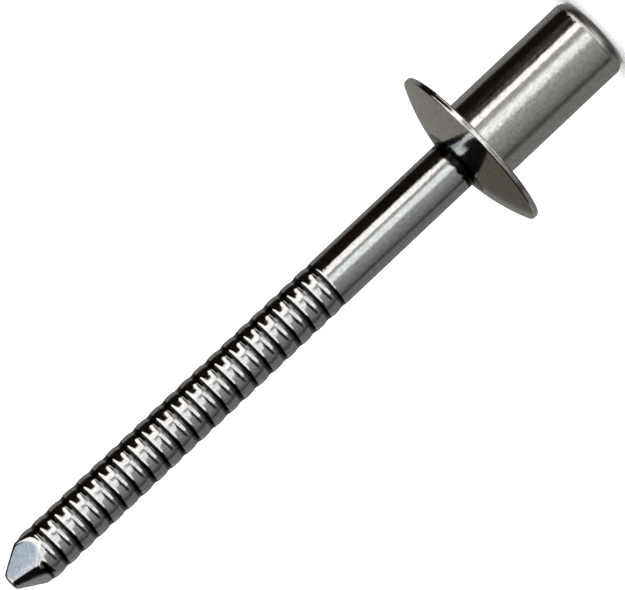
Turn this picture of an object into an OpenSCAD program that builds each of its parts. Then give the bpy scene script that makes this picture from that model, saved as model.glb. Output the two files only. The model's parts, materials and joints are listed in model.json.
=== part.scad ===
// Closed-end blind rivet: a drawn cup with a domed head, swaged round a pull mandrel.
// The closed end stands on the XY plane and the mandrel points up along +Z.

/* [Rivet body] */
// Diameter of the hollow body
body_d = 4.8; // [4.6:0.1:6.4]
// Length of the body from its closed end to the underside of the head
body_length = 8.85; // [6.5:0.05:16]
// Radius round the edge of the closed end
end_radius = 0.63; // [0.3:0.01:0.8]
// Thickness of the closed end
end_wall = 0.9; // [0.6:0.05:1.5]

/* [Head] */
// Diameter of the domed head
head_d = 9.95; // [8:0.05:12]
// Thickness of the head at its rim
rim_thickness = 0.36; // [0.3:0.01:0.8]
// Radius along the two edges of the rim
rim_radius = 0.1; // [0.05:0.01:0.15]
// Rise of the dome from the rim to the crown
dome_rise = 1.1; // [0.7:0.05:1.8]
// Radius in the corner between the body and the head
neck_radius = 0.12; // [0.05:0.01:0.3]
// Bevel at the mouth of the bore in the crown
mouth_bevel = 0.08; // [0.02:0.01:0.2]

/* [Mandrel stem] */
// Diameter of the plain stem
stem_d = 2.9; // [2.5:0.01:3]
// Length of the stem from the crown of the head to the tip
stem_length = 32.2; // [27:0.1:45]
// Length of the plain stem from the crown of the head to the first groove
plain_length = 9.35; // [5:0.05:14]

/* [Pull grooves] */
// Distance from one groove to the next
groove_pitch = 1.05; // [1:0.01:1.6]
// Width of the flat floor of a groove
groove_floor = 0.18; // [0.05:0.01:0.2]
// Depth of the grooves below the plain stem
groove_depth = 0.04; // [0.03:0.01:0.1]
// Rise of the rolled ridges above the plain stem
ridge_rise = 0.02; // [0.01:0.01:0.03]
// Length of each ridge's round flank on the side of the head
pull_flank = 0.31; // [0.15:0.01:0.35]
// Length of each ridge's round flank on the side of the tip
tip_flank = 0.26; // [0.15:0.01:0.35]

/* [Tip] */
// Angle between a pinched face and the axis
tip_angle = 24; // [15:0.5:30]
// Width of the blunt end across its flats
tip_width = 0.72; // [0.4:0.02:1.2]
// Stretch before the end that is left without grooves
tip_plain = 1.6; // [1:0.1:3]

/* [Mandrel head] */
// Diameter of the mandrel's head in the cup
bulb_d = 3.6; // [3.3:0.05:3.9]
// Length of the head's straight part
bulb_length = 1.5; // [0.8:0.1:2]
// Radius round the end of the head
bulb_radius = 0.3; // [0.1:0.05:0.5]
// Diameter of the break neck above the head
break_d = 1.9; // [1.4:0.05:2.3]

/* [Fit] */
// Gap between the mandrel and the cup all round
fit_clearance = 0.03; // [0.01:0.01:0.06]

/* [Hidden] */
$fn = 128;

body_r = body_d / 2;
stem_r = stem_d / 2;
bulb_r = bulb_d / 2;
break_r = break_d / 2;
bore_r = stem_r + fit_clearance;
pocket_r = bulb_r + fit_clearance;

// Heights along the axis
rim_z = body_length + rim_thickness;
crown_z = rim_z + dome_rise;
tip_z = crown_z + stem_length;
bulb_z = end_wall + fit_clearance;
bulb_top_z = bulb_z + bulb_length;
break_z = bulb_top_z + bulb_r - break_r;
stem_z = break_z + stem_r - break_r;
pocket_top_z = bulb_top_z + fit_clearance;
seat_top_z = pocket_top_z + pocket_r - bore_r;

// The dome is a sphere that runs tangent into the rim's upper edge
edge_r = min(rim_radius, rim_thickness / 2);
rim_centre_r = head_d / 2 - edge_r;
rim_centre_z = rim_z - edge_r;
dome_radius = (rim_centre_r ^ 2 + (dome_rise + edge_r) ^ 2 - edge_r ^ 2) / (2 * dome_rise);
dome_z = crown_z - dome_radius;
dome_edge_angle = atan2(rim_centre_r, rim_centre_z - dome_z);
dome_edge_r = rim_centre_r + edge_r * sin(dome_edge_angle);
mouth_z = dome_z + sqrt(dome_radius ^ 2 - bore_r ^ 2);

// Grooves and the ridges between them
floor_r = stem_r - groove_depth;
ridge_r = stem_r + ridge_rise;
first_groove_z = crown_z + plain_length;
groove_room = stem_length - plain_length - tip_plain;
groove_count = 1 + floor((groove_room - groove_floor) / groove_pitch);
ridge_length = groove_pitch - groove_floor;

// Radius of a round flank that climbs the height over the run
function flank_radius(run, height) = (run ^ 2 + height ^ 2) / (2 * height);

// Half section of a bar that runs from z0 to z1, up to radius r
module bar(r, z0, z1) {
    translate([0, z0])
        square([r, z1 - z0]);
}

// Half section of a disc or cup end with a rounded lower edge
module rounded_foot(r, z0, z1, edge) {
    bar(r, z0 + edge, z1);
    bar(r - edge, z0, z1);
    translate([r - edge, z0 + edge])
        circle(edge);
}

// Half section of the head, without its bore
module head_section() {
    rounded_foot(head_d / 2, body_length, rim_centre_z, edge_r);
    translate([rim_centre_r, rim_centre_z])
        circle(edge_r);
    intersection() {
        translate([0, dome_z])
            circle(dome_radius);
        bar(dome_edge_r, body_length + edge_r, crown_z);
    }
}

// Half section of the concave corner under the head
module neck_section() {
    translate([body_r, body_length - neck_radius])
        difference() {
            square(neck_radius);
            translate([neck_radius, 0])
                circle(neck_radius);
        }
}

// Half section of everything that the mandrel needs inside the cup
module bore_section() {
    bar(pocket_r, end_wall, pocket_top_z);
    polygon([
        [0, pocket_top_z],
        [pocket_r, pocket_top_z],
        [bore_r, seat_top_z],
        [0, seat_top_z],
    ]);
    bar(bore_r, seat_top_z, crown_z + mouth_bevel);
    polygon([
        [0, mouth_z - mouth_bevel],
        [bore_r, mouth_z - mouth_bevel],
        [bore_r + 2 * mouth_bevel, mouth_z + mouth_bevel],
        [0, mouth_z + mouth_bevel],
    ]);
}

// Half section of the mandrel's hidden head and its break neck
module bulb_section() {
    rounded_foot(bulb_r, bulb_z, bulb_top_z, bulb_radius);
    polygon([
        [0, bulb_top_z],
        [bulb_r, bulb_top_z],
        [break_r, break_z],
        [stem_r, stem_z],
        [0, stem_z],
    ]);
}

// One round flank with its foot on the groove floor at z; side is 1 towards the tip, -1 towards the head
module flank(top_r, z, run, side) {
    radius = flank_radius(run, top_r - floor_r);
    intersection() {
        translate([top_r - radius, z - side * run])
            circle(radius);
        bar(top_r, z - run, z + run);
    }
}

// Half section of a rolled ridge whose feet stand at z0 and z1
module ridge_section(z0, z1) {
    bar(ridge_r, z0 + pull_flank, z1 - tip_flank);
    flank(ridge_r, z0, pull_flank, -1);
    flank(ridge_r, z1, tip_flank, 1);
}

// Half section of the stem above the break neck, before the tip is pinched
module stem_section() {
    bar(floor_r, break_z, tip_z);
    bar(stem_r, stem_z, first_groove_z - tip_flank);
    flank(stem_r, first_groove_z, tip_flank, 1);
    for (i = [0 : groove_count - 2]) {
        z = first_groove_z + groove_floor + i * groove_pitch;
        ridge_section(z, z + ridge_length);
    }
    last_z = first_groove_z + groove_floor + (groove_count - 1) * groove_pitch;
    bar(ridge_r, last_z + pull_flank, tip_z);
    flank(ridge_r, last_z, pull_flank, -1);
}

// The four cuts that leave the pinched faces of the tip
module pinch_cuts() {
    reach = stem_d / sin(tip_angle);
    for (turn = [0 : 90 : 270])
        rotate(turn)
            translate([tip_width / 2, 0, tip_z])
                rotate([0, -tip_angle, 0])
                    translate([0, -stem_d, -reach])
                        cube([stem_d, 2 * stem_d, 2 * reach]);
}

module rivet_body() {
    color([0.76, 0.76, 0.75])
        rotate_extrude()
            difference() {
                union() {
                    rounded_foot(body_r, 0, body_length + edge_r, end_radius);
                    neck_section();
                    head_section();
                }
                bore_section();
            }
}

module mandrel() {
    color([0.80, 0.81, 0.82])
        difference() {
            rotate_extrude() {
                bulb_section();
                stem_section();
            }
            pinch_cuts();
        }
}

rivet_body();
mandrel();
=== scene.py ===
import bpy
import json
import math
from mathutils import Matrix, Vector


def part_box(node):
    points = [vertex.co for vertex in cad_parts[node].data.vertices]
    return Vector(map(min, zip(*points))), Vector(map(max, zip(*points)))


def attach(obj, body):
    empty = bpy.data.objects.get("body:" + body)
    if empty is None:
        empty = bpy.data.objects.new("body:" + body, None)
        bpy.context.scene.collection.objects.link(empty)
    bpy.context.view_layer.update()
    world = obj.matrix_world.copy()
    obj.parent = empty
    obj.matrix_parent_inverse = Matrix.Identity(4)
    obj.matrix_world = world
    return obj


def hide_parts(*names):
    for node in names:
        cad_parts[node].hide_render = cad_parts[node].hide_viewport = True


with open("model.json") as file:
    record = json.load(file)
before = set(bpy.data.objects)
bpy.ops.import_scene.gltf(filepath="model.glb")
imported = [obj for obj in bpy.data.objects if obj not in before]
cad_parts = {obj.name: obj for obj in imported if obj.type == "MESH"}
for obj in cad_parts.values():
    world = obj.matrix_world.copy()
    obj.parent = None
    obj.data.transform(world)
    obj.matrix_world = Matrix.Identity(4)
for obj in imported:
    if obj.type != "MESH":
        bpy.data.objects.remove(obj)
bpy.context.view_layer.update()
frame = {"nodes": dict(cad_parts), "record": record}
mm = 0.001
print("frame loaded:", ", ".join(sorted(frame["nodes"])))

# what the frame already knows about the rivet
mounts = {mount["name"]: mount for mount in frame["record"]["mounts"]}
shankRadius = mounts["shank"]["dims"]["r_mm"] * mm
seatHeight = mounts["head_seat"]["pos_m"][2]
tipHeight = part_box("mandrel")[1].z
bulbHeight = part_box("mandrel")[0].z


# small helpers for node trees

def feed(tree, socket, term):
    if isinstance(term, bpy.types.NodeSocket):
        tree.links.new(term, socket)
    else:
        socket.default_value = term


def calc(tree, operation, *terms):
    node = tree.nodes.new("ShaderNodeMath")
    node.operation = operation
    for socket, term in zip(node.inputs, terms):
        feed(tree, socket, term)
    return node.outputs[0]


def addNode(tree, kind, inputs=None, **settings):
    node = tree.nodes.new(kind)
    for name, value in settings.items():
        setattr(node, name, value)
    for name, term in (inputs or {}).items():
        feed(tree, node.inputs[name], term)
    return node


def splitVector(tree, vector):
    return addNode(tree, "ShaderNodeSeparateXYZ", {0: vector}).outputs


def longSide(tree, a, b):
    # of the right triangle with the sides a and b
    return calc(tree, "SQRT", calc(tree, "MULTIPLY_ADD", a, a, calc(tree, "MULTIPLY", b, b)))


def newGeometryTree(name, sockets):
    tree = bpy.data.node_groups.new(name, "GeometryNodeTree")
    tree.interface.new_socket("Geometry", in_out="INPUT", socket_type="NodeSocketGeometry")
    for label, kind in sockets:
        tree.interface.new_socket(label, in_out="INPUT", socket_type=kind)
    tree.interface.new_socket("Geometry", in_out="OUTPUT", socket_type="NodeSocketGeometry")
    return tree, tree.nodes.new("NodeGroupInput"), tree.nodes.new("NodeGroupOutput")


# half sections are lists of (radius, height), drawn up the outside of a piece

def arc(centre, radius, start, end, steps):
    turns = [start + (end - start) * i / steps for i in range(steps + 1)]
    spots = [(math.cos(math.radians(turn)), math.sin(math.radians(turn))) for turn in turns]
    return [(centre[0] + radius * across, centre[1] + radius * up) for across, up in spots]


def rail(start, end, steps=1, hold=0.03 * mm):
    length = math.dist(start, end)  # extra points near both ends keep the shading crisp
    marks = [hold / length] + [i / steps for i in range(1, steps)] + [1 - hold / length]
    return [(start[0] + (end[0] - start[0]) * t, start[1] + (end[1] - start[1]) * t) for t in marks]


def sectionObject(name, stretches):
    points, edges, numbers = [], [], []
    for number, stretch in enumerate(stretches):
        first = len(points)
        points += [(radius, 0, height) for radius, height in stretch]
        edges += [(i, i + 1) for i in range(first, len(points) - 1)]
        numbers += [number] * len(stretch)
    mesh = bpy.data.meshes.new(name)
    mesh.from_pydata(points, edges, [])
    mesh.attributes.new("stretch", "INT", "POINT").data.foreach_set("value", numbers)
    piece = bpy.data.objects.new(name, mesh)
    bpy.context.scene.collection.objects.link(piece)
    return piece


def buildLatheTree():
    tree, given, result = newGeometryTree("lathe", [("Segments", "NodeSocketInt")])
    points = addNode(tree, "GeometryNodeAttributeDomainSize", {"Geometry": given.outputs["Geometry"]})
    columns = calc(tree, "ADD", given.outputs["Segments"], 1)
    grid = addNode(tree, "GeometryNodeMeshGrid", {
        "Vertices X": points.outputs["Point Count"],
        "Vertices Y": columns,
    })
    index = tree.nodes.new("GeometryNodeInputIndex").outputs[0]
    row = calc(tree, "FLOOR", calc(tree, "DIVIDE", calc(tree, "ADD", index, 0.5), columns))
    column = calc(tree, "SUBTRACT", index, calc(tree, "MULTIPLY", row, columns))
    sample = addNode(tree, "GeometryNodeSampleIndex", data_type="FLOAT_VECTOR", domain="POINT")
    tree.links.new(given.outputs["Geometry"], sample.inputs["Geometry"])
    tree.links.new(tree.nodes.new("GeometryNodeInputPosition").outputs[0], sample.inputs["Value"])
    tree.links.new(row, sample.inputs["Index"])
    radius, _, height = splitVector(tree, sample.outputs[0])
    turn = calc(tree, "MULTIPLY", column, calc(tree, "DIVIDE", math.tau, given.outputs["Segments"]))
    ringPlace = addNode(tree, "ShaderNodeCombineXYZ", {
        "X": calc(tree, "MULTIPLY", radius, calc(tree, "COSINE", turn)),
        "Y": calc(tree, "MULTIPLY", radius, calc(tree, "SINE", turn)),
        "Z": height,
    })
    turned = addNode(tree, "GeometryNodeSetPosition", {
        "Geometry": grid.outputs["Mesh"],
        "Position": ringPlace.outputs[0],
    })
    outward = addNode(tree, "GeometryNodeFlipFaces", {"Mesh": turned.outputs[0]})
    tree.links.new(outward.outputs[0], result.inputs["Geometry"])
    return tree


latheTree = buildLatheTree()
mergeReach = 0.0002 * mm


def lathe(tree, section, segments):
    group = addNode(tree, "GeometryNodeGroup", node_tree=latheTree)
    tree.links.new(section, group.inputs["Geometry"])
    tree.links.new(segments, group.inputs["Segments"])
    return group.outputs["Geometry"]


def finishTree(tree, mesh, material, result):
    merged = addNode(tree, "GeometryNodeMergeByDistance", {"Geometry": mesh, "Distance": mergeReach})
    smooth = addNode(tree, "GeometryNodeSetShadeSmooth", {"Geometry": merged.outputs[0]})
    realized = addNode(tree, "GeometryNodeRealizeInstances", {"Geometry": smooth.outputs[0]})
    dressed = addNode(tree, "GeometryNodeSetMaterial", {
        "Geometry": realized.outputs[0],
        "Material": material,
    })
    tree.links.new(dressed.outputs[0], result.inputs["Geometry"])


def buildTurnedTree(name):
    tree, given, result = newGeometryTree(name, [
        ("Segments", "NodeSocketInt"),
        ("Finish", "NodeSocketMaterial"),
    ])
    turned = lathe(tree, given.outputs["Geometry"], given.outputs["Segments"])
    finishTree(tree, turned, given.outputs["Finish"], result)
    return tree


def makePiece(name, tree, stretches, values):
    piece = sectionObject(name, stretches)
    modifier = piece.modifiers.new("shape", "NODES")
    modifier.node_group = tree
    for item in tree.interface.items_tree:
        if item.in_out == "INPUT" and item.name in values:
            modifier[item.identifier] = values[item.name]
    evaluated = piece.evaluated_get(bpy.context.evaluated_depsgraph_get())
    mesh = bpy.data.meshes.new_from_object(evaluated)
    piece.modifiers.remove(modifier)
    section, piece.data = piece.data, mesh
    bpy.data.meshes.remove(section)
    mesh.name = name
    print("made", name, "with", len(mesh.polygons), "faces")
    return piece


# steel

grainDetail = {"Line": 3.0, "Mottle": 2.0, "Speckle": 1.0}
grainSizes = [kind + size for kind in grainDetail for size in (" Scale", " Stretch")]
lineShare = 0.5  # of the drawn lines in the bump, beside the mottle
lineRange = (0.3, 0.7)  # of the line noise, from the smoothest steel to the roughest
ringCore = 0.75  # share of a ring mask's reach that it fills
# near black for the painted shade in grooves and at the joint, and for the burr spots
shadeAndBurrColor = (0.006, 0.006, 0.005)


def buildGrainGroup():
    tree = bpy.data.node_groups.new("drawnGrain", "ShaderNodeTree")
    for label in grainSizes:
        tree.interface.new_socket(label, in_out="INPUT", socket_type="NodeSocketFloat")
    for label in ("Lines", "Mottle", "Speckle", "Height"):
        tree.interface.new_socket(label, in_out="OUTPUT", socket_type="NodeSocketFloat")
    given, result = tree.nodes.new("NodeGroupInput"), tree.nodes.new("NodeGroupOutput")
    place = tree.nodes.new("ShaderNodeTexCoord").outputs["Object"]
    noises = []
    for kind, detail in grainDetail.items():
        stretch = addNode(tree, "ShaderNodeCombineXYZ", {
            "X": 1.0,
            "Y": 1.0,
            "Z": given.outputs[kind + " Stretch"],
        })
        drawn = addNode(tree, "ShaderNodeVectorMath", {
            0: place,
            1: stretch.outputs[0],
        }, operation="MULTIPLY")
        noises.append(addNode(tree, "ShaderNodeTexNoise", {
            "Vector": drawn.outputs[0],
            "Scale": given.outputs[kind + " Scale"],
            "Detail": detail,
        }))
    lines, mottle, speckle = noises
    height = calc(tree, "MULTIPLY_ADD", lines.outputs["Fac"], lineShare, mottle.outputs["Fac"])
    tree.links.new(lines.outputs["Fac"], result.inputs["Lines"])
    tree.links.new(mottle.outputs["Fac"], result.inputs["Mottle"])
    tree.links.new(speckle.outputs["Fac"], result.inputs["Speckle"])
    tree.links.new(height, result.inputs["Height"])
    return tree


def buildRingGroup():
    # ragged mask round a ring on the axis
    tree = bpy.data.node_groups.new("ringMask", "ShaderNodeTree")
    for label in ("Ring Radius", "Ring Height", "Reach", "Mottle"):
        tree.interface.new_socket(label, in_out="INPUT", socket_type="NodeSocketFloat")
    tree.interface.new_socket("Mask", in_out="OUTPUT", socket_type="NodeSocketFloat")
    given, result = tree.nodes.new("NodeGroupInput"), tree.nodes.new("NodeGroupOutput")
    x, y, z = splitVector(tree, tree.nodes.new("ShaderNodeTexCoord").outputs["Object"])
    outward = calc(tree, "SUBTRACT", longSide(tree, x, y), given.outputs["Ring Radius"])
    upward = calc(tree, "SUBTRACT", z, given.outputs["Ring Height"])
    ragged = calc(tree, "ADD", given.outputs["Mottle"], 0.5)  # swings round 1
    reach = calc(tree, "MULTIPLY", given.outputs["Reach"], ragged)
    near = addNode(tree, "ShaderNodeMapRange", {
        "Value": longSide(tree, outward, upward),
        "From Min": reach,
        "From Max": calc(tree, "MULTIPLY", reach, ringCore),
    }, interpolation_type="SMOOTHSTEP")
    tree.links.new(near.outputs[0], result.inputs["Mask"])
    return tree


grainGroup = buildGrainGroup()
ringGroup = buildRingGroup()


def ringMask(tree, ring, mottle):
    node = addNode(tree, "ShaderNodeGroup", {"Mottle": mottle}, node_tree=ringGroup)
    for label, value in ring.items():
        node.inputs[label].default_value = value
    return node.outputs["Mask"]


def steel(name, look):
    material = bpy.data.materials.new(name)
    material.use_nodes = True
    tree = material.node_tree
    shader = tree.nodes["Principled BSDF"]
    shader.inputs["Metallic"].default_value = 1.0
    grain = addNode(tree, "ShaderNodeGroup", node_tree=grainGroup)
    for label in grainSizes:
        grain.inputs[label].default_value = look[label]
    tint = addNode(tree, "ShaderNodeMix", data_type="RGBA")
    tree.links.new(grain.outputs["Speckle"], tint.inputs["Factor"])
    tint.inputs["A"].default_value = (*look["dark"], 1)
    tint.inputs["B"].default_value = (*look["light"], 1)
    # painted shade: a dark ragged ring where the stem meets the head
    share = ringMask(tree, look["grimeRing"], grain.outputs["Mottle"])
    # the mandrel's painted groove shade and its burr spots come from its attribute
    if look["residue"]:
        residue = addNode(tree, "ShaderNodeAttribute", attribute_name="residue")
        share = calc(tree, "MAXIMUM", share, residue.outputs["Fac"])
    # mixes the steel towards near black by the painted shade and burr share
    share = calc(tree, "MULTIPLY", share, look["dirt"])
    shadedAndBurred = addNode(tree, "ShaderNodeMix", data_type="RGBA")
    tree.links.new(share, shadedAndBurred.inputs["Factor"])
    tree.links.new(tint.outputs["Result"], shadedAndBurred.inputs["A"])
    shadedAndBurred.inputs["B"].default_value = (*shadeAndBurrColor, 1)
    tree.links.new(shadedAndBurred.outputs["Result"], shader.inputs["Base Color"])
    rough = addNode(tree, "ShaderNodeMapRange", {
        "Value": grain.outputs["Lines"],
        "From Min": lineRange[0],
        "From Max": lineRange[1],
        "To Min": look["smoothest"],
        "To Max": look["roughest"],
    })
    roughness = rough.outputs[0]
    if "cornerRing" in look:
        corner = ringMask(tree, look["cornerRing"], grain.outputs["Mottle"])
        drawn = calc(tree, "MULTIPLY", corner, look["cornerRough"])
        roughness = calc(tree, "MAXIMUM", roughness, drawn)
    tree.links.new(roughness, shader.inputs["Roughness"])
    bump = addNode(tree, "ShaderNodeBump", {
        "Strength": look["bump"],
        "Distance": look["bumpDepth"],
        "Height": grain.outputs["Height"],
    })
    tree.links.new(bump.outputs[0], shader.inputs["Normal"])
    return material


bodyLook = {
    "Line Scale": 5000.0,
    "Line Stretch": 0.05,
    "Mottle Scale": 3800.0,
    "Mottle Stretch": 0.7,
    "Speckle Scale": 6500.0,
    "Speckle Stretch": 0.6,
    "dark": (0.42, 0.40, 0.37),
    "light": (0.82, 0.82, 0.81),
    "residue": False,
    "dirt": 0.99,
    # painted shade on the head's mouth round the stem
    "grimeRing": {"Ring Radius": 1.47 * mm, "Ring Height": 10.2 * mm, "Reach": 0.68 * mm},
    "cornerRing": {"Ring Radius": 2.25 * mm, "Ring Height": 0.25 * mm, "Reach": 0.5 * mm},
    "cornerRough": 0.32,
    "smoothest": 0.08,
    "roughest": 0.14,
    "bump": 0.3,
    "bumpDepth": 0.012 * mm,
}
stemLook = {
    "Line Scale": 6000.0,
    "Line Stretch": 0.05,
    "Mottle Scale": 4200.0,
    "Mottle Stretch": 0.7,
    "Speckle Scale": 7000.0,
    "Speckle Stretch": 0.6,
    "dark": (0.36, 0.355, 0.35),
    "light": (0.69, 0.695, 0.70),
    "residue": True,
    "dirt": 0.99,
    # painted shade round the stem's base where it enters the head
    "grimeRing": {"Ring Radius": 1.45 * mm, "Ring Height": 10.2 * mm, "Reach": 0.45 * mm},
    "smoothest": 0.06,
    "roughest": 0.12,
    "bump": 0.34,
    "bumpDepth": 0.012 * mm,
}
bodySteel = steel("bodySteel", bodyLook)
stemSteel = steel("mandrelSteel", stemLook)
print("steel finishes ready")


# mandrel: hidden head, plain stem, rolled rings and pinched tip

mandrel = {
    "segments": 160,
    "stemRadius": 1.45 * mm,
    "bulbRadius": 1.8 * mm,
    "bulbLength": 1.5 * mm,
    "bulbEdge": 0.3 * mm,
    "breakRadius": 0.95 * mm,
    "firstGroove": 19.66 * mm,
    "groovePitch": 1.05 * mm,
    "grooveFloor": 0.18 * mm,
    "grooveDepth": 0.04 * mm,
    "ridgeRise": 0.02 * mm,
    "ridgeCrown": 3,
    "pullFlank": 0.31 * mm,
    "tipFlank": 0.26 * mm,
    "rings": 20,
    # painted shade in the grooves: its reach up each tip-facing flank, its black lip at the floor's start,
    # and its share on the rest of the floor
    "residueFoot": 0.12 * mm,
    "residueLip": 0.04 * mm,
    "residueFloor": 0.66,
    "burrScale": 2600.0,
    "burrReach": 0.2 * mm,
    "burrRange": (0.44, 0.52),
    "tipWidth": 0.72 * mm,
    "tipAngle": 24,
    "tipRound": 0.16 * mm,
    "edgeSoft": 0.24 * mm,
    "bulge": 0.3,
    "frontBulge": 0.15,
    "tipRows": 36,
    "tipReach": 4 * mm,  # the pinch stays within this stretch of the end
    "pinchedBelow": 0.97,  # share of the round radius under which a face counts as pinched
    "leastLean": 0.05,  # keeps the bulging faces finite
}


def flank(top, foot, side, crown=0, steps=8):
    # round flank from a crest's edge down to the groove floor; side 1 faces the tip, -1 the head
    run = mandrel["tipFlank"] if side > 0 else mandrel["pullFlank"]
    height = top - mandrel["stemRadius"] + mandrel["grooveDepth"]
    lean = 2 * math.degrees(math.atan2(height, run)) - crown
    radius = run / (math.sin(math.radians(lean)) - math.sin(math.radians(crown)))
    centre = (
        top - radius * math.cos(math.radians(crown)),
        foot - side * (run + radius * math.sin(math.radians(crown))),
    )
    start, end = (crown, lean) if side > 0 else (-lean, -crown)
    return arc(centre, radius, start, end, steps)


def mandrelStretches(size):
    floor = size["stemRadius"] - size["grooveDepth"]
    ridge = size["stemRadius"] + size["ridgeRise"]
    bulbTop = bulbHeight + size["bulbLength"]
    breakHeight = bulbTop + size["bulbRadius"] - size["breakRadius"]
    stemStart = breakHeight + size["stemRadius"] - size["breakRadius"]
    firstFlank = flank(size["stemRadius"], size["firstGroove"], 1)
    stem = [(0, bulbHeight)]
    stem += rail((0, bulbHeight), (size["bulbRadius"] - size["bulbEdge"], bulbHeight), 3)
    edge = size["bulbEdge"]
    stem += arc((size["bulbRadius"] - edge, bulbHeight + edge), edge, -90, 0, 6)
    stem += rail(stem[-1], (size["bulbRadius"], bulbTop), 3) + [(size["bulbRadius"], bulbTop)]
    stem += rail(stem[-1], (size["breakRadius"], breakHeight), 2) + [(size["breakRadius"], breakHeight)]
    stem += rail(stem[-1], (size["stemRadius"], stemStart), 2) + [(size["stemRadius"], stemStart)]
    stem += rail(stem[-1], firstFlank[0], 14) + firstFlank

    def groove(start):
        end = start + size["grooveFloor"]
        return [(floor, start)] + rail((floor, start), (floor, end), 1, size["residueLip"])

    # the crest of a ring bows slightly between its two flanks
    crown = size["ridgeCrown"]
    crest = size["groovePitch"] - size["grooveFloor"] - size["pullFlank"] - size["tipFlank"]
    crownRadius = crest / 2 / math.sin(math.radians(crown))
    crestEdge = ridge - crownRadius * (1 - math.cos(math.radians(crown)))
    ringFoot = size["firstGroove"] + size["grooveFloor"]
    crestMiddle = ringFoot + size["pullFlank"] + crest / 2
    ring = groove(size["firstGroove"]) + flank(crestEdge, ringFoot, -1, crown)
    ring += arc((ridge - crownRadius, crestMiddle), crownRadius, -crown, crown, 6)[1:-1]
    ring += flank(crestEdge, size["firstGroove"] + size["groovePitch"], 1, crown)

    lastGroove = size["firstGroove"] + size["rings"] * size["groovePitch"]
    tip = groove(lastGroove) + flank(ridge, lastGroove + size["grooveFloor"], -1)
    roundStart = (ridge, tipHeight - size["tipRound"])
    tip += rail(tip[-1], roundStart, size["tipRows"])
    sinks = [1 - math.sin(math.radians(angle)) for angle in range(0, 90, 10)]
    tip += [(ridge, tipHeight - size["tipRound"] * sink) for sink in sinks]
    tip += [(ridge, tipHeight)] + rail((ridge, tipHeight), (0, tipHeight), 6) + [(0, tipHeight)]
    return [stem, ring, tip]


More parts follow.
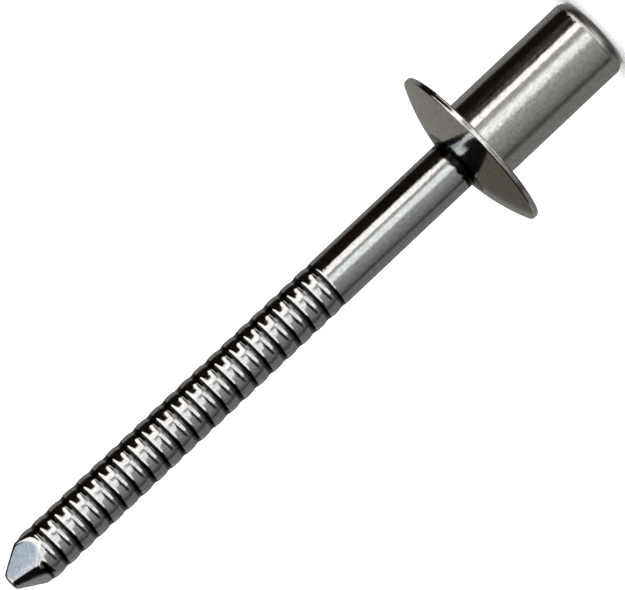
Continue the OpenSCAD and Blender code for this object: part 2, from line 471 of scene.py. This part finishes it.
def buildMandrelTree():
    tree, given, result = newGeometryTree("mandrelShape", [
        ("Segments", "NodeSocketInt"),
        ("Ring Count", "NodeSocketInt"),
        ("Ring Pitch", "NodeSocketFloat"),
        ("Ridge Radius", "NodeSocketFloat"),
        ("First Groove", "NodeSocketFloat"),
        ("Groove Floor", "NodeSocketFloat"),
        ("Residue Foot", "NodeSocketFloat"),
        ("Residue Lip", "NodeSocketFloat"),
        ("Residue Floor", "NodeSocketFloat"),
        ("Tip Height", "NodeSocketFloat"),
        ("Tip Width", "NodeSocketFloat"),
        ("Tip Slope", "NodeSocketFloat"),
        ("Tip Round", "NodeSocketFloat"),
        ("Edge Soft", "NodeSocketFloat"),
        ("Bulge", "NodeSocketFloat"),
        ("Front Bulge", "NodeSocketFloat"),
        ("Burr Scale", "NodeSocketFloat"),
        ("Burr Reach", "NodeSocketFloat"),
        ("Finish", "NodeSocketMaterial"),
    ])
    size = given.outputs
    stretch = addNode(tree, "GeometryNodeInputNamedAttribute", {"Name": "stretch"}, data_type="INT")
    parts = []
    for number in range(3):
        chosen = addNode(tree, "FunctionNodeCompare", data_type="INT", operation="EQUAL")
        tree.links.new(stretch.outputs["Attribute"], chosen.inputs[2])  # the pair for whole numbers
        chosen.inputs[3].default_value = number
        section = addNode(tree, "GeometryNodeSeparateGeometry", {
            "Geometry": size["Geometry"],
            "Selection": chosen.outputs[0],
        })
        parts.append(lathe(tree, section.outputs["Selection"], size["Segments"]))
    step = addNode(tree, "ShaderNodeCombineXYZ", {"Z": size["Ring Pitch"]})
    places = addNode(tree, "GeometryNodeMeshLine", {"Count": size["Ring Count"], "Offset": step.outputs[0]})
    rings = addNode(tree, "GeometryNodeInstanceOnPoints", {
        "Points": places.outputs[0],
        "Instance": parts[1],
    })
    realized = addNode(tree, "GeometryNodeRealizeInstances", {"Geometry": rings.outputs[0]})
    whole = tree.nodes.new("GeometryNodeJoinGeometry")
    for part in (parts[0], realized.outputs[0], parts[2]):
        tree.links.new(part, whole.inputs[0])

    # painted shade sits on the groove floors and on the foot of each flank that faces the tip
    x, y, z = splitVector(tree, tree.nodes.new("GeometryNodeInputPosition").outputs[0])
    margin = 0.001 * mm
    safeRadius = calc(tree, "MAXIMUM", longSide(tree, x, y), margin)
    pitch = size["Ring Pitch"]
    fromFirst = calc(tree, "SUBTRACT", calc(tree, "ADD", z, margin), size["First Groove"])
    along = calc(tree, "MULTIPLY", calc(tree, "FRACT", calc(tree, "DIVIDE", fromFirst, pitch)), pitch)
    onFloor = calc(tree, "LESS_THAN", along, calc(tree, "ADD", size["Groove Floor"], 2 * margin))
    onLip = calc(tree, "LESS_THAN", along, calc(tree, "ADD", size["Residue Lip"], 2 * margin))
    onFoot = calc(tree, "GREATER_THAN", along, calc(tree, "SUBTRACT", pitch, size["Residue Foot"]))
    black = calc(tree, "MAXIMUM", onLip, onFoot)
    rowEnd = calc(tree, "MULTIPLY_ADD", size["Ring Count"], pitch, size["Residue Lip"])
    afterStart = calc(tree, "GREATER_THAN", fromFirst, calc(tree, "MULTIPLY", size["Residue Foot"], -1))
    beforeEnd = calc(tree, "LESS_THAN", fromFirst, calc(tree, "ADD", rowEnd, 2 * margin))
    residue = calc(tree, "MAXIMUM", calc(tree, "MULTIPLY", onFloor, size["Residue Floor"]), black)
    residue = calc(tree, "MULTIPLY", residue, calc(tree, "MULTIPLY", afterStart, beforeEnd))

    # the four pinched faces press the round end in; those towards -X and -Y bulge between their edges
    depth = calc(tree, "SUBTRACT", size["Tip Height"], z)
    inRound = calc(tree, "SUBTRACT", size["Tip Round"], calc(tree, "MINIMUM", depth, size["Tip Round"]))
    roundSquare = calc(tree, "MULTIPLY", size["Tip Round"], size["Tip Round"])
    bow = calc(tree, "SQRT", calc(tree, "SUBTRACT", roundSquare, calc(tree, "MULTIPLY", inRound, inRound)))
    roundOff = calc(tree, "SUBTRACT", size["Tip Round"], bow)
    endHalf = calc(tree, "SUBTRACT", calc(tree, "MULTIPLY", size["Tip Width"], 0.5), roundOff)
    half = calc(tree, "MULTIPLY_ADD", depth, size["Tip Slope"], endHalf)
    bulge = calc(tree, "MULTIPLY", size["Bulge"], calc(tree, "LESS_THAN", x, 0))
    frontBulge = calc(tree, "MULTIPLY", size["Front Bulge"], calc(tree, "LESS_THAN", y, 0))
    reach = []
    for side, swell in ((x, bulge), (y, frontBulge)):
        lean = calc(tree, "DIVIDE", calc(tree, "ABSOLUTE", side), safeRadius)
        safeLean = calc(tree, "MAXIMUM", lean, mandrel["leastLean"])
        bent = calc(tree, "POWER", safeLean, calc(tree, "SUBTRACT", 1, swell))
        swollen = calc(tree, "MULTIPLY", half, calc(tree, "POWER", math.sqrt(2), swell))
        reach.append(calc(tree, "DIVIDE", swollen, bent))
    onEnd = calc(tree, "LESS_THAN", depth, margin / 2)
    rest = calc(tree, "MULTIPLY", safeRadius, calc(tree, "SUBTRACT", 1, onEnd))
    outer = calc(tree, "MULTIPLY_ADD", size["Ridge Radius"], onEnd, rest)
    untouched = addNode(tree, "ShaderNodeMapRange", {
        "Value": calc(tree, "SUBTRACT", reach[1], size["Ridge Radius"]),
        "From Max": size["Edge Soft"],
    }, interpolation_type="SMOOTHSTEP")
    ringDepth = calc(tree, "SUBTRACT", size["Ridge Radius"], outer)
    filled = calc(tree, "MULTIPLY_ADD", ringDepth, calc(tree, "SUBTRACT", 1, untouched.outputs[0]), outer)
    sides = calc(tree, "SMOOTH_MIN", filled, reach[0], size["Edge Soft"])
    pressed = calc(tree, "SMOOTH_MIN", sides, reach[1], size["Edge Soft"])
    shrink = calc(tree, "DIVIDE", pressed, outer)

    # torn dark spots along the edges of the faces on the side of +X
    spots = addNode(tree, "ShaderNodeTexNoise", {
        "Vector": addNode(tree, "ShaderNodeCombineXYZ", {"Z": z}).outputs[0],
        "Scale": size["Burr Scale"],
        "Detail": 1.0,
    })
    torn = addNode(tree, "ShaderNodeMapRange", {
        "Value": spots.outputs["Fac"],
        "From Min": mandrel["burrRange"][0],
        "From Max": mandrel["burrRange"][1],
    })
    offEdge = calc(tree, "SUBTRACT", calc(tree, "ABSOLUTE", x), calc(tree, "ABSOLUTE", y))
    onEdge = addNode(tree, "ShaderNodeMapRange", {
        "Value": calc(tree, "MULTIPLY", calc(tree, "ABSOLUTE", offEdge), shrink),
        "From Min": size["Burr Reach"],
        "From Max": calc(tree, "MULTIPLY", size["Burr Reach"], 0.5),
    })
    pressedIn = calc(tree, "LESS_THAN", shrink, mandrel["pinchedBelow"])
    inPinch = calc(tree, "MULTIPLY", pressedIn, calc(tree, "GREATER_THAN", x, 0))
    burr = calc(tree, "MULTIPLY", calc(tree, "MULTIPLY", torn.outputs[0], onEdge.outputs[0]), inPinch)
    # the painted groove shade, left off the pinched faces, is stored together with the burr spots
    marked = addNode(tree, "GeometryNodeStoreNamedAttribute", {
        "Geometry": whole.outputs[0],
        "Name": "residue",
        "Value": calc(tree, "MAXIMUM", calc(tree, "MULTIPLY", residue, untouched.outputs[0]), burr),
    }, data_type="FLOAT", domain="POINT")
    newPlace = addNode(tree, "ShaderNodeCombineXYZ", {
        "X": calc(tree, "MULTIPLY", x, shrink),
        "Y": calc(tree, "MULTIPLY", y, shrink),
        "Z": z,
    })
    nearTip = calc(tree, "LESS_THAN", depth, mandrel["tipReach"])
    pinched = addNode(tree, "GeometryNodeSetPosition", {
        "Geometry": marked.outputs[0],
        "Selection": nearTip,
        "Position": newPlace.outputs[0],
    })
    finishTree(tree, pinched.outputs[0], size["Finish"], result)
    return tree


mandrelPiece = makePiece("pullMandrel", buildMandrelTree(), mandrelStretches(mandrel), {
    "Segments": mandrel["segments"],
    "Ring Count": mandrel["rings"],
    "Ring Pitch": mandrel["groovePitch"],
    "Ridge Radius": mandrel["stemRadius"] + mandrel["ridgeRise"],
    "First Groove": mandrel["firstGroove"],
    "Groove Floor": mandrel["grooveFloor"],
    "Residue Foot": mandrel["residueFoot"],
    "Residue Lip": mandrel["residueLip"],
    "Residue Floor": mandrel["residueFloor"],
    "Tip Height": tipHeight,
    "Tip Width": mandrel["tipWidth"],
    "Tip Slope": math.tan(math.radians(mandrel["tipAngle"])),
    "Tip Round": mandrel["tipRound"],
    "Edge Soft": mandrel["edgeSoft"],
    "Bulge": mandrel["bulge"],
    "Front Bulge": mandrel["frontBulge"],
    "Burr Scale": mandrel["burrScale"],
    "Burr Reach": mandrel["burrReach"],
    "Finish": stemSteel,
})


# rivet body: drawn cup with its domed head

cup = {
    "segments": 192,
    "headRadius": 4.975 * mm,
    "endRadius": 0.63 * mm,
    "endWall": 0.9 * mm,
    "rimThickness": 0.36 * mm,
    "rimRadius": 0.1 * mm,
    "domeRise": 1.1 * mm,
    "neckRadius": 0.12 * mm,
    "mouthRadius": 0.08 * mm,
    "fitGap": 0.03 * mm,
}


def cupSection(size, stem):
    bore = stem["stemRadius"] + size["fitGap"]
    pocket = stem["bulbRadius"] + size["fitGap"]
    pocketTop = bulbHeight + stem["bulbLength"] + size["fitGap"]
    seatTop = pocketTop + pocket - bore
    rimTop = seatHeight + size["rimThickness"]
    crown = rimTop + size["domeRise"]
    rimCentre = (size["headRadius"] - size["rimRadius"], rimTop - size["rimRadius"])
    drop = size["domeRise"] + size["rimRadius"]
    domeRadius = (rimCentre[0] ** 2 + drop ** 2 - size["rimRadius"] ** 2) / (2 * size["domeRise"])
    domeCentre = (0, crown - domeRadius)
    domeEdge = math.degrees(math.atan2(rimCentre[1] - domeCentre[1], rimCentre[0]))
    mouthOut = bore + size["mouthRadius"]
    domeTop = math.degrees(math.acos(mouthOut / domeRadius))
    mouthHeight = domeCentre[1] + math.sqrt(domeRadius ** 2 - mouthOut ** 2)

    section = [(0, 0)]
    section += rail((0, 0), (shankRadius - size["endRadius"], 0), 4)
    section += arc((shankRadius - size["endRadius"], size["endRadius"]), size["endRadius"], -90, 0, 18)
    corner = size["neckRadius"]
    neck = arc((shankRadius + corner, seatHeight - corner), corner, 180, 90, 8)
    section += rail(section[-1], neck[0], 16) + neck
    lowRim = arc((rimCentre[0], seatHeight + size["rimRadius"]), size["rimRadius"], -90, 0, 8)
    section += rail(section[-1], lowRim[0], 6) + lowRim
    highRim = arc(rimCentre, size["rimRadius"], 0, domeEdge, 8)
    section += rail(section[-1], highRim[0], 1, 0.02 * mm) + highRim
    section += arc(domeCentre, domeRadius, domeEdge, domeTop, 36)[1:]
    section += arc((mouthOut, mouthHeight - size["mouthRadius"]), size["mouthRadius"], 90, 180, 6)
    section += rail(section[-1], (bore, seatTop), 6) + [(bore, seatTop)]
    section += rail(section[-1], (pocket, pocketTop), 1) + [(pocket, pocketTop)]
    section += rail(section[-1], (pocket, size["endWall"]), 3) + [(pocket, size["endWall"])]
    section += rail(section[-1], (0, size["endWall"]), 3) + [(0, size["endWall"])]
    return section


cupPiece = makePiece("rivetCup", buildTurnedTree("cupShape"), [cupSection(cup, mandrel)], {
    "Segments": cup["segments"],
    "Finish": bodySteel,
})

for piece, node, slotName in (
    (cupPiece, "rivet_body", "body_steel"),
    (mandrelPiece, "mandrel", "mandrel_steel"),
):
    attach(piece, "root")
    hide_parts(node)
print("pieces ride on the frame")


# camera at the photograph's angle: the axis runs from lower left to upper right in the picture

shot = {
    "azimuth": -28.0,
    "elevation": 6.6,
    "axisTilt": 43.32,  # of the rivet's axis in the picture, from the horizontal
    "target": (0.0, 0.0, 20.5 * mm),
    "shiftAcross": 0.11 * mm,
    "distance": 450 * mm,
    "frameWidth": 32.9 * mm,
    "sensor": 36.0,
    "clip": (0.01, 10),
}


def addCamera(view):
    azimuth, elevation = math.radians(view["azimuth"]), math.radians(view["elevation"])
    back = Vector((
        math.sin(azimuth) * math.cos(elevation),
        -math.cos(azimuth) * math.cos(elevation),
        math.sin(elevation),
    ))
    across = Vector((math.cos(azimuth), math.sin(azimuth), 0))  # to the right while upright
    along = back.cross(across)  # the axis as the picture sees it
    roll = math.radians(180 + view["axisTilt"])
    right = along * math.cos(roll) + across * math.sin(roll)
    up = along * math.sin(roll) - across * math.cos(roll)
    data = bpy.data.cameras.new("photoCamera")
    data.sensor_width = view["sensor"]
    data.lens = view["sensor"] * view["distance"] / view["frameWidth"]
    data.clip_start, data.clip_end = view["clip"]
    camera = bpy.data.objects.new("photoCamera", data)
    target = Vector(view["target"]) + across * view["shiftAcross"]
    place = target + back * view["distance"]
    turn = Matrix((right, up, back)).transposed()
    camera.matrix_world = Matrix.Translation(place) @ turn.to_4x4()
    bpy.context.scene.collection.objects.link(camera)
    bpy.context.scene.camera = camera


addCamera(shot)
print("camera set")


# studio: pale sweep, one overhead softbox, and panels that the steel mirrors

studio = {
    "floorRadius": 1.2,
    "wallHeight": 1.0,
    "wallCurve": 0.4,
    "floorColor": (0.93, 0.93, 0.93),
    "floorRoughness": 0.9,
    "floorSegments": 96,
    "boxHeight": 0.9,
    "boxSize": 1.0,
    "boxPower": 14.0,
}


def addSweep(room):
    flat = room["floorRadius"] - room["wallCurve"]
    section = [(0, 0)] + rail((0, 0), (flat, 0), 6)
    section += arc((flat, room["wallCurve"]), room["wallCurve"], -90, 0, 16)
    section += [(room["floorRadius"], room["wallHeight"])]
    material = bpy.data.materials.new("sweepPaper")
    material.use_nodes = True
    shader = material.node_tree.nodes["Principled BSDF"]
    shader.inputs["Base Color"].default_value = (*room["floorColor"], 1)
    shader.inputs["Roughness"].default_value = room["floorRoughness"]
    shader.inputs["Specular IOR Level"].default_value = 0.0
    sweep = makePiece("sweep", buildTurnedTree("sweepShape"), [section], {
        "Segments": room["floorSegments"],
        "Finish": material,
    })
    sweep.visible_glossy = False  # the steel mirrors the panels of the world instead


def addSoftbox(room):
    data = bpy.data.lights.new("softbox", "AREA")
    data.shape = "DISK"
    data.size = room["boxSize"]
    data.energy = room["boxPower"]
    box = bpy.data.objects.new("softbox", data)
    box.location = (0, 0, room["boxHeight"])
    box.visible_glossy = False
    bpy.context.scene.collection.objects.link(box)


# low curved lamps close by, seen only in the steel: the plain stem mirrors one, the rings the other
strips = {
    "distance": 80 * mm,
    "lamps": {
        "stemStrip": {"turn": (25.0, 57.5), "height": (1.0 * mm, 10.3 * mm)},
        "ringStrip": {"turn": (24.0, 50.5), "height": (10.3 * mm, 31.5 * mm)},
    },
    "fade": 6.0,
    "columns": 31,
    "color": (1.0, 0.98, 0.95),
    "strength": 1.8,
}


def addStripLamp(name, lamp, shared, azimuth):
    start, end = lamp["turn"]
    away = shared["distance"]
    corners, glow = [], []
    for i in range(shared["columns"] + 1):
        turn = start + (end - start) * i / shared["columns"]
        heading = math.radians(azimuth - 90 + turn)
        for height in lamp["height"]:
            corners.append((away * math.cos(heading), away * math.sin(heading), height))
            glow.append(min(1, (turn - start) / shared["fade"], (end - turn) / shared["fade"]))
    faces = [(2 * i, 2 * i + 2, 2 * i + 3, 2 * i + 1) for i in range(shared["columns"])]
    mesh = bpy.data.meshes.new(name)
    mesh.from_pydata(corners, [], faces)
    mesh.attributes.new("glow", "FLOAT", "POINT").data.foreach_set("value", glow)
    material = bpy.data.materials.new(name)
    material.use_nodes = True
    tree = material.node_tree
    tree.nodes.remove(tree.nodes["Principled BSDF"])
    share = addNode(tree, "ShaderNodeAttribute", attribute_name="glow")
    light = addNode(tree, "ShaderNodeEmission", {
        "Color": (*shared["color"], 1),
        "Strength": shared["strength"],
    })
    clear = tree.nodes.new("ShaderNodeBsdfTransparent")
    mix = addNode(tree, "ShaderNodeMixShader", {
        0: share.outputs["Fac"],
        1: clear.outputs[0],
        2: light.outputs[0],
    })
    tree.links.new(mix.outputs[0], tree.nodes["Material Output"].inputs["Surface"])
    mesh.materials.append(material)
    strip = bpy.data.objects.new(name, mesh)
    strip.visible_camera = False
    strip.visible_diffuse = False
    strip.visible_shadow = False
    bpy.context.scene.collection.objects.link(strip)


# grey levels of the room round the horizon, by the angle in degrees from the camera's side
roomStops = [
    (-180, 0.22), (-99, 0.23), (-90, 0.16), (-83.5, 0.065), (-77, 0.13), (-68, 0.21), (-40, 0.36),
    (-15, 0.52), (25, 0.5), (45, 0.4), (60, 0.01), (112, 0.01), (128, 0.2), (180, 0.22),
]
roomBlue = 0.97  # share of a level that its blue has
# panels that stand in the room, from the back one to the front one: turn from the camera's side and rise
# above the horizon in degrees, softness of their edges, and a slant of the rise along the turn
allRound = (-220, 220)
panels = {
    "darkBelow": {"turn": allRound, "rise": (-120, -41), "soft": (6, 8), "color": (0.02, 0.02, 0.02)},
    "greyBelow": {"turn": allRound, "rise": (-120, -56), "soft": (6, 10), "color": (0.14, 0.135, 0.13)},
    "endGlow": {"turn": (-45, 22), "rise": (-72, -50), "soft": (16, 8), "color": (0.9, 0.9, 0.88)},
    "lowDarkBar": {
        "turn": (-66, 14),
        "rise": (-20.5, -9.5),
        "soft": (24, 3),
        "color": (0.02, 0.02, 0.02),
        "slant": 0.06,
    },
    "leftCard": {
        "turn": (-40, 17),
        "rise": (0.5, 60),
        "soft": (8, 4),
        "color": (1.55, 1.55, 1.55),
        "slant": -0.15,
    },
    "leftShade": {
        "turn": (-60, 8),
        "rise": (22, 80),
        "soft": (12, 5),
        "color": (0.008, 0.008, 0.008),
        "slant": 0.22,
    },
    "rightCard": {"turn": (17, 52), "rise": (-1, 60), "soft": (8, 7), "color": (1.6, 1.6, 1.6)},
    "darkAbove": {"turn": allRound, "rise": (22, 120), "soft": (6, 5), "color": (0.008, 0.008, 0.008)},
    "lowLeftCard": {
        "turn": (-42, -4),
        "rise": (-37, -20.5),
        "soft": (10, 4),
        "color": (1.55, 1.55, 1.55),
        "slant": 0.12,
    },
    "lowRightCard": {
        "turn": (-4, 30),
        "rise": (-37, -20.5),
        "soft": (8, 4),
        "color": (1.5, 1.5, 1.5),
        "slant": 0.12,
    },
    "window": {
        "turn": (-12, 16),
        "rise": (-11, 4),
        "soft": (14, 4),
        "color": (1.42, 1.48, 1.48),
        "slant": -0.2,
    },
    "curtain": {"turn": (58, 118), "rise": (-60, 22), "soft": (6, 6), "color": (0.008, 0.005, 0.003)},
    "upperWing": {"turn": (33, 87), "rise": (-4, 27), "soft": (4, 4), "color": (1.9, 1.85, 1.8)},
    "lowerWing": {"turn": (33, 86), "rise": (-26, -8), "soft": (4, 4), "color": (1.9, 1.85, 1.8)},
    "ringNotch": {
        "turn": (46, 190),
        "rise": (-19.5, 23),
        "soft": (5, 5),
        "color": (0.008, 0.005, 0.003),
        "slant": -0.07,
        "diamond": 1,
    },
    "keySlot": {"turn": (50.5, 120), "rise": (-12, -1.5), "soft": (4, 3), "color": (0.012, 0.008, 0.005)},
    "greySide": {"turn": (120, 220), "rise": (-32, 13), "soft": (16, 6), "color": (0.24, 0.24, 0.235)},
    "key": {"turn": (34.5, 46.5), "rise": (-10.5, -3), "soft": (4, 3), "color": (1.72, 1.68, 1.62)},
    "tipCard": {"turn": (48, 78), "rise": (26, 46), "soft": (6, 5), "color": (0.74, 0.85, 0.96)},
    "tipEdgeCard": {"turn": (8, 53), "rise": (24, 44), "soft": (5, 4), "color": (1.25, 1.27, 1.3)},
    "tipEndCard": {
        "turn": (56, 140),
        "rise": (22.5, 60),
        "soft": (12, 5),
        "color": (1.6, 1.6, 1.6),
        "slant": 0.33,
    },
    "leftCurtain": {
        "turn": (-150, -42),
        "rise": (12.5, 40),
        "soft": (10, 4),
        "color": (0.006, 0.006, 0.006),
    },
    "leftGrey": {"turn": (-165, -124), "rise": (-5, 30), "soft": (7, 8), "color": (0.33, 0.33, 0.32)},
    "rightBack": {"turn": (140, 220), "rise": (12, 62), "soft": (20, 10), "color": (0.27, 0.258, 0.24)},
    "leftBack": {"turn": (-220, -150), "rise": (16, 62), "soft": (10, 10), "color": (0.125, 0.114, 0.094)},
}


diamondEdge = (1.06, 0.94)  # fade across the edge of a panel that is cut to a diamond


def buildPanelGroup():
    tree = bpy.data.node_groups.new("panel", "ShaderNodeTree")
    tree.interface.new_socket("Behind", in_out="INPUT", socket_type="NodeSocketColor")
    tree.interface.new_socket("Color", in_out="INPUT", socket_type="NodeSocketColor")
    for way in ("Turn", "Rise"):
        for label in (way, way + " From", way + " To", way + " Soft"):
            tree.interface.new_socket(label, in_out="INPUT", socket_type="NodeSocketFloat")
    for label in ("Slant", "Diamond"):
        tree.interface.new_socket(label, in_out="INPUT", socket_type="NodeSocketFloat")
    tree.interface.new_socket("Result", in_out="OUTPUT", socket_type="NodeSocketColor")
    given, result = tree.nodes.new("NodeGroupInput"), tree.nodes.new("NodeGroupOutput")
    drop = calc(tree, "MULTIPLY", given.outputs["Turn"], given.outputs["Slant"])
    looks = {"Turn": given.outputs["Turn"], "Rise": calc(tree, "SUBTRACT", given.outputs["Rise"], drop)}
    mask, offCentre = None, []
    for way, angle in looks.items():
        middle = calc(tree, "ADD", given.outputs[way + " From"], given.outputs[way + " To"])
        width = calc(tree, "SUBTRACT", given.outputs[way + " To"], given.outputs[way + " From"])
        off = calc(tree, "SUBTRACT", calc(tree, "MULTIPLY", angle, 2), middle)
        offCentre.append(calc(tree, "ABSOLUTE", calc(tree, "DIVIDE", off, width)))
        half = calc(tree, "MULTIPLY", given.outputs[way + " Soft"], 0.5)
        for side, sign in ((" From", 1), (" To", -1)):
            inside = calc(tree, "SUBTRACT", angle, given.outputs[way + side])
            fade = addNode(tree, "ShaderNodeMapRange", {
                "Value": calc(tree, "MULTIPLY", inside, sign),
                "From Min": calc(tree, "MULTIPLY", half, -1),
                "From Max": half,
            }, interpolation_type="SMOOTHSTEP")
            mask = fade.outputs[0] if mask is None else calc(tree, "MULTIPLY", mask, fade.outputs[0])
    diamond = addNode(tree, "ShaderNodeMapRange", {
        "Value": calc(tree, "ADD", *offCentre),
        "From Min": diamondEdge[0],
        "From Max": diamondEdge[1],
    }, interpolation_type="SMOOTHSTEP")
    shape = addNode(tree, "ShaderNodeMix", data_type="FLOAT")
    tree.links.new(given.outputs["Diamond"], shape.inputs["Factor"])
    tree.links.new(mask, shape.inputs["A"])
    tree.links.new(diamond.outputs[0], shape.inputs["B"])
    mix = addNode(tree, "ShaderNodeMix", data_type="RGBA")
    tree.links.new(shape.outputs["Result"], mix.inputs["Factor"])
    tree.links.new(given.outputs["Behind"], mix.inputs["A"])
    tree.links.new(given.outputs["Color"], mix.inputs["B"])
    tree.links.new(mix.outputs["Result"], result.inputs["Result"])
    return tree


def addWorld(azimuth):
    world = bpy.data.worlds.new("panels")
    world.use_nodes = True
    bpy.context.scene.world = world
    tree = world.node_tree
    x, y, z = splitVector(tree, tree.nodes.new("ShaderNodeTexCoord").outputs["Generated"])
    heading = calc(tree, "ARCTAN2", y, x)
    fromCamera = calc(tree, "SUBTRACT", heading, math.radians(azimuth - 90))
    turn = calc(tree, "DEGREES", calc(tree, "WRAP", fromCamera, math.pi, -math.pi))
    rise = calc(tree, "DEGREES", calc(tree, "ARCSINE", z))
    room = addNode(tree, "ShaderNodeValToRGB", {"Fac": calc(tree, "MULTIPLY_ADD", turn, 1 / 360, 0.5)})
    elements = room.color_ramp.elements
    while len(elements) < len(roomStops):
        elements.new(0.5)
    for element, (angle, level) in zip(elements, roomStops):
        element.position = (angle + 180) / 360
        element.color = (level, level, level * roomBlue, 1)
    color = room.outputs["Color"]
    panelGroup = buildPanelGroup()
    for panel in panels.values():
        node = addNode(tree, "ShaderNodeGroup", node_tree=panelGroup)
        feed(tree, node.inputs["Behind"], color)
        feed(tree, node.inputs["Color"], (*panel["color"], 1))
        feed(tree, node.inputs["Slant"], panel.get("slant", 0))
        feed(tree, node.inputs["Diamond"], panel.get("diamond", 0))
        for way, angle, limits, soft in (
            ("Turn", turn, panel["turn"], panel["soft"][0]),
            ("Rise", rise, panel["rise"], panel["soft"][1]),
        ):
            feed(tree, node.inputs[way], angle)
            feed(tree, node.inputs[way + " From"], limits[0])
            feed(tree, node.inputs[way + " To"], limits[1])
            feed(tree, node.inputs[way + " Soft"], soft)
        color = node.outputs["Result"]
    tree.links.new(color, tree.nodes["Background"].inputs["Color"])


addSweep(studio)
addSoftbox(studio)
for stripName, stripLamp in strips["lamps"].items():
    addStripLamp(stripName, stripLamp, strips, shot["azimuth"])
addWorld(shot["azimuth"])
bpy.context.scene.view_settings.view_transform = "Standard"
print("studio lit")
